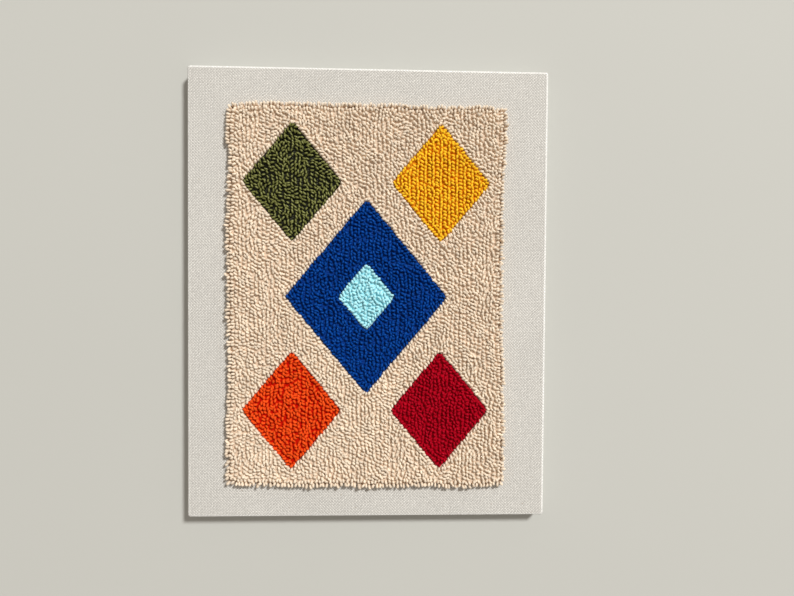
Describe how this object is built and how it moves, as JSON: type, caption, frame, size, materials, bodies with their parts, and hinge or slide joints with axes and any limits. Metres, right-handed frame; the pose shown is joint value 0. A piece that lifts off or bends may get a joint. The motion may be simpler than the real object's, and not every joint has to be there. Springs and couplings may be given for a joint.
{
  "type": "punch needle wall piece on stretcher frame",
  "caption": "Rectangular wall piece of punch needle loop pile on linen stretched over mitred wooden bars, with diamonds in several colours on a cream ground and a plain linen margin.",
  "frame": {"origin": "middle of the back, on the surface that the piece lies on", "axes": "+X to the picture's right, +Y to its top, +Z out of its face: the piece lies on its back"},
  "size_m": [0.4, 0.5, 0.0291],
  "materials": {
    "linen": "plain woven, matt",
    "stretcher_wood": "planed, unvarnished",
    "cream_yarn": "loop pile, matt",
    "royal_blue_yarn": "loop pile, matt",
    "pale_blue_yarn": "loop pile, matt",
    "olive_yarn": "loop pile, matt",
    "amber_yarn": "loop pile, matt",
    "vermilion_yarn": "loop pile, matt",
    "crimson_yarn": "loop pile, matt"
  },
  "bodies": {
    "root": {"linen_canvas": "linen", "stretcher_bar_top": "stretcher_wood", "stretcher_bar_left": "stretcher_wood", "stretcher_bar_bottom": "stretcher_wood", "stretcher_bar_right": "stretcher_wood", "pile_cream_ground": "cream_yarn", "pile_royal_blue_diamond": "royal_blue_yarn", "pile_pale_blue_diamond": "pale_blue_yarn", "pile_olive_diamond": "olive_yarn", "pile_amber_diamond": "amber_yarn", "pile_vermilion_diamond": "vermilion_yarn", "pile_crimson_diamond": "crimson_yarn"}
  },
  "joints": []
}
